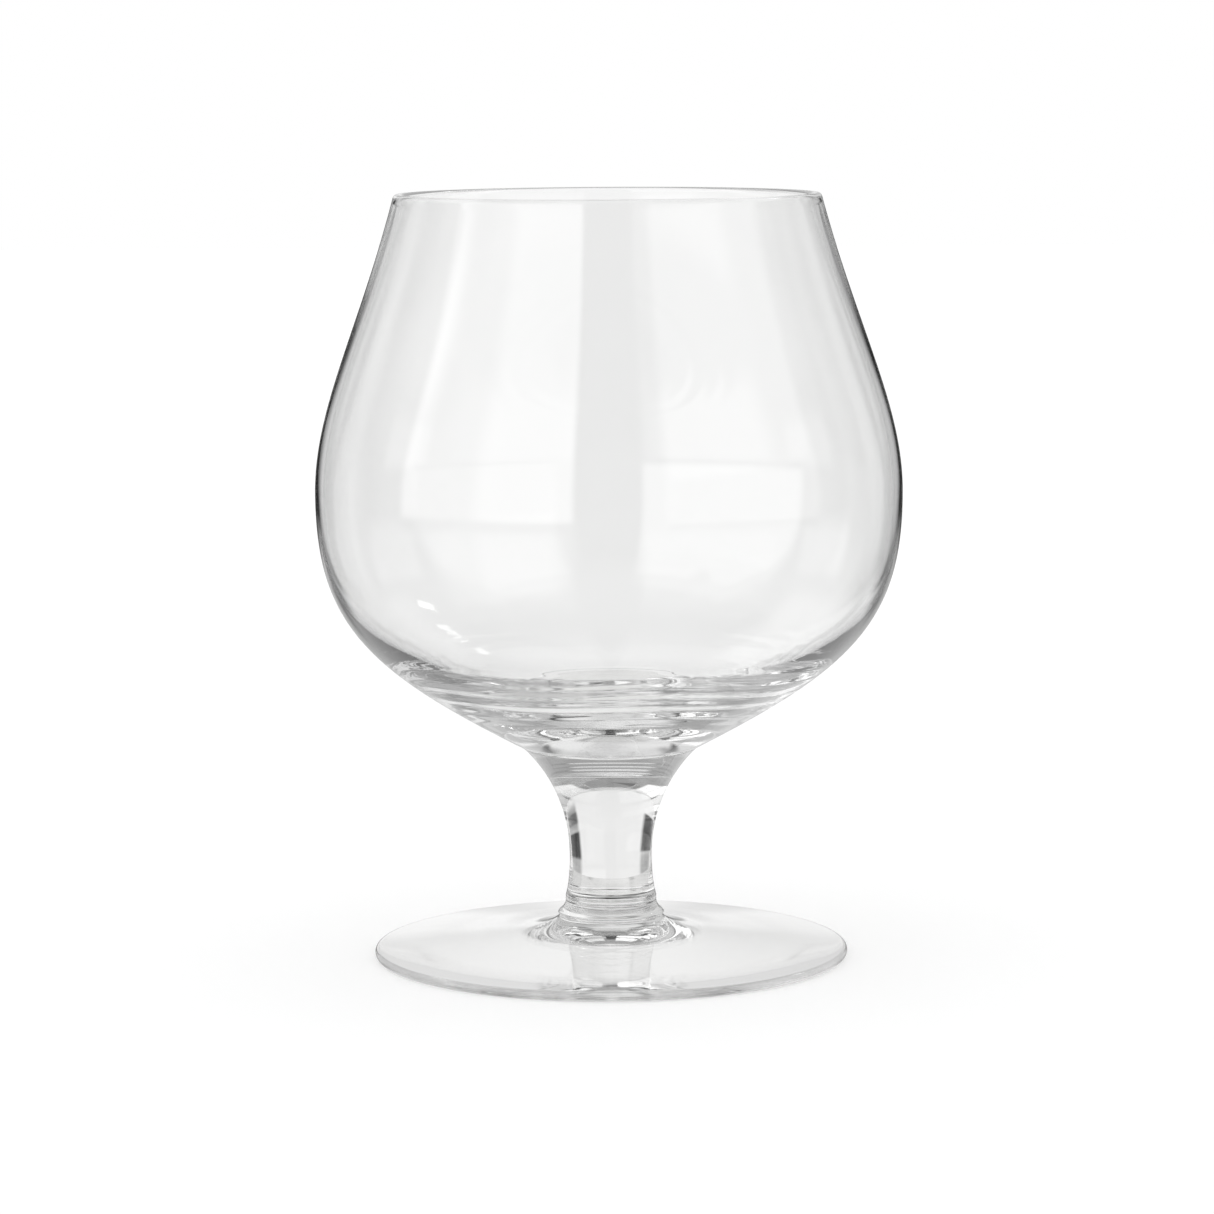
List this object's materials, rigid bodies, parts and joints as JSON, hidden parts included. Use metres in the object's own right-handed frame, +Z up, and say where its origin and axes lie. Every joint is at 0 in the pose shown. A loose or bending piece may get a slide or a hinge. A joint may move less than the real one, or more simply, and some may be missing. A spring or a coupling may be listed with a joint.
{
  "type": "brandy snifter",
  "caption": "Clear stemmed brandy glass: a wide rounded bowl drawn in to a narrower mouth, on a short waisted stem and a round foot.",
  "frame": {"origin": "centre of the ring that the foot rests on, at table height", "axes": "+Z up along the glass's own axis, +X to the right and +Y away from the viewer of the front view"},
  "size_m": [0.1054, 0.1054, 0.1378],
  "materials": {
    "bowl_glass": "clear, fire-polished",
    "stem_glass": "clear, fire-polished",
    "foot_glass": "clear, fire-polished"
  },
  "bodies": {
    "root": {"bowl": "bowl_glass", "stem": "stem_glass", "foot": "foot_glass"}
  },
  "joints": []
}
